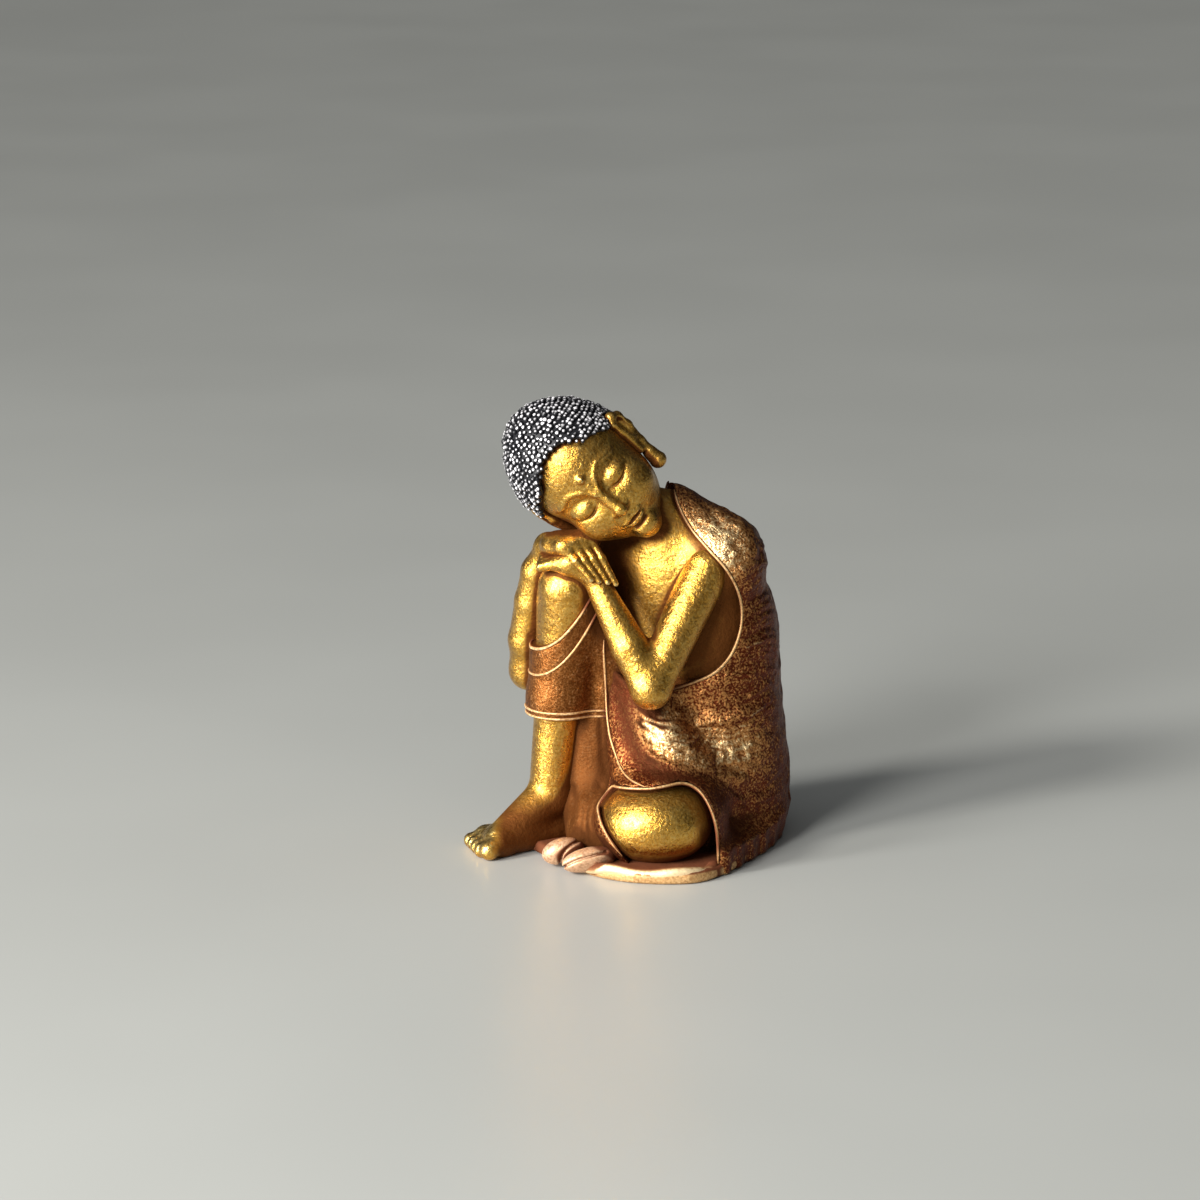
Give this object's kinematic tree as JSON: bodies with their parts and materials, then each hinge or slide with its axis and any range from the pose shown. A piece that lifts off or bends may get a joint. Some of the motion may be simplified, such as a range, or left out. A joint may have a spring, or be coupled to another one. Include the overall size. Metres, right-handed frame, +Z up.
{
  "type": "resting buddha figurine",
  "caption": "Small painted figurine of a robed seated figure resting its leaning head on both hands over a raised knee, on a thin plinth.",
  "frame": {"origin": "on the flat underside, below the middle of the plinth", "axes": "+Z up, the figure faces -Y, its left side is towards +X"},
  "size_m": [0.0343, 0.0281, 0.0481],
  "materials": {
    "gold_paint": "satin metallic gold paint with brown rubbed into the hollows",
    "copper_paint": "satin red-brown copper paint, pale copper on the ridges",
    "black_silver_paint": "satin black paint, silver on the tips of the curls"
  },
  "bodies": {
    "root": {"head": "gold_paint", "left_ear": "gold_paint", "right_ear": "gold_paint", "left_upper_arm": "gold_paint", "left_forearm": "gold_paint", "left_hand": "gold_paint", "right_upper_arm": "gold_paint", "right_forearm": "gold_paint", "right_hand": "gold_paint", "folded_knee": "gold_paint", "raised_shin": "gold_paint", "raised_knee": "gold_paint", "torso": "gold_paint", "hair_cap": "black_silver_paint", "robe_lap_cloth": "copper_paint", "robe_mantle": "copper_paint", "robe_leg_cloth": "copper_paint", "hem_petal_1": "copper_paint", "hem_petal_2": "copper_paint", "plinth": "copper_paint"}
  },
  "joints": []
}
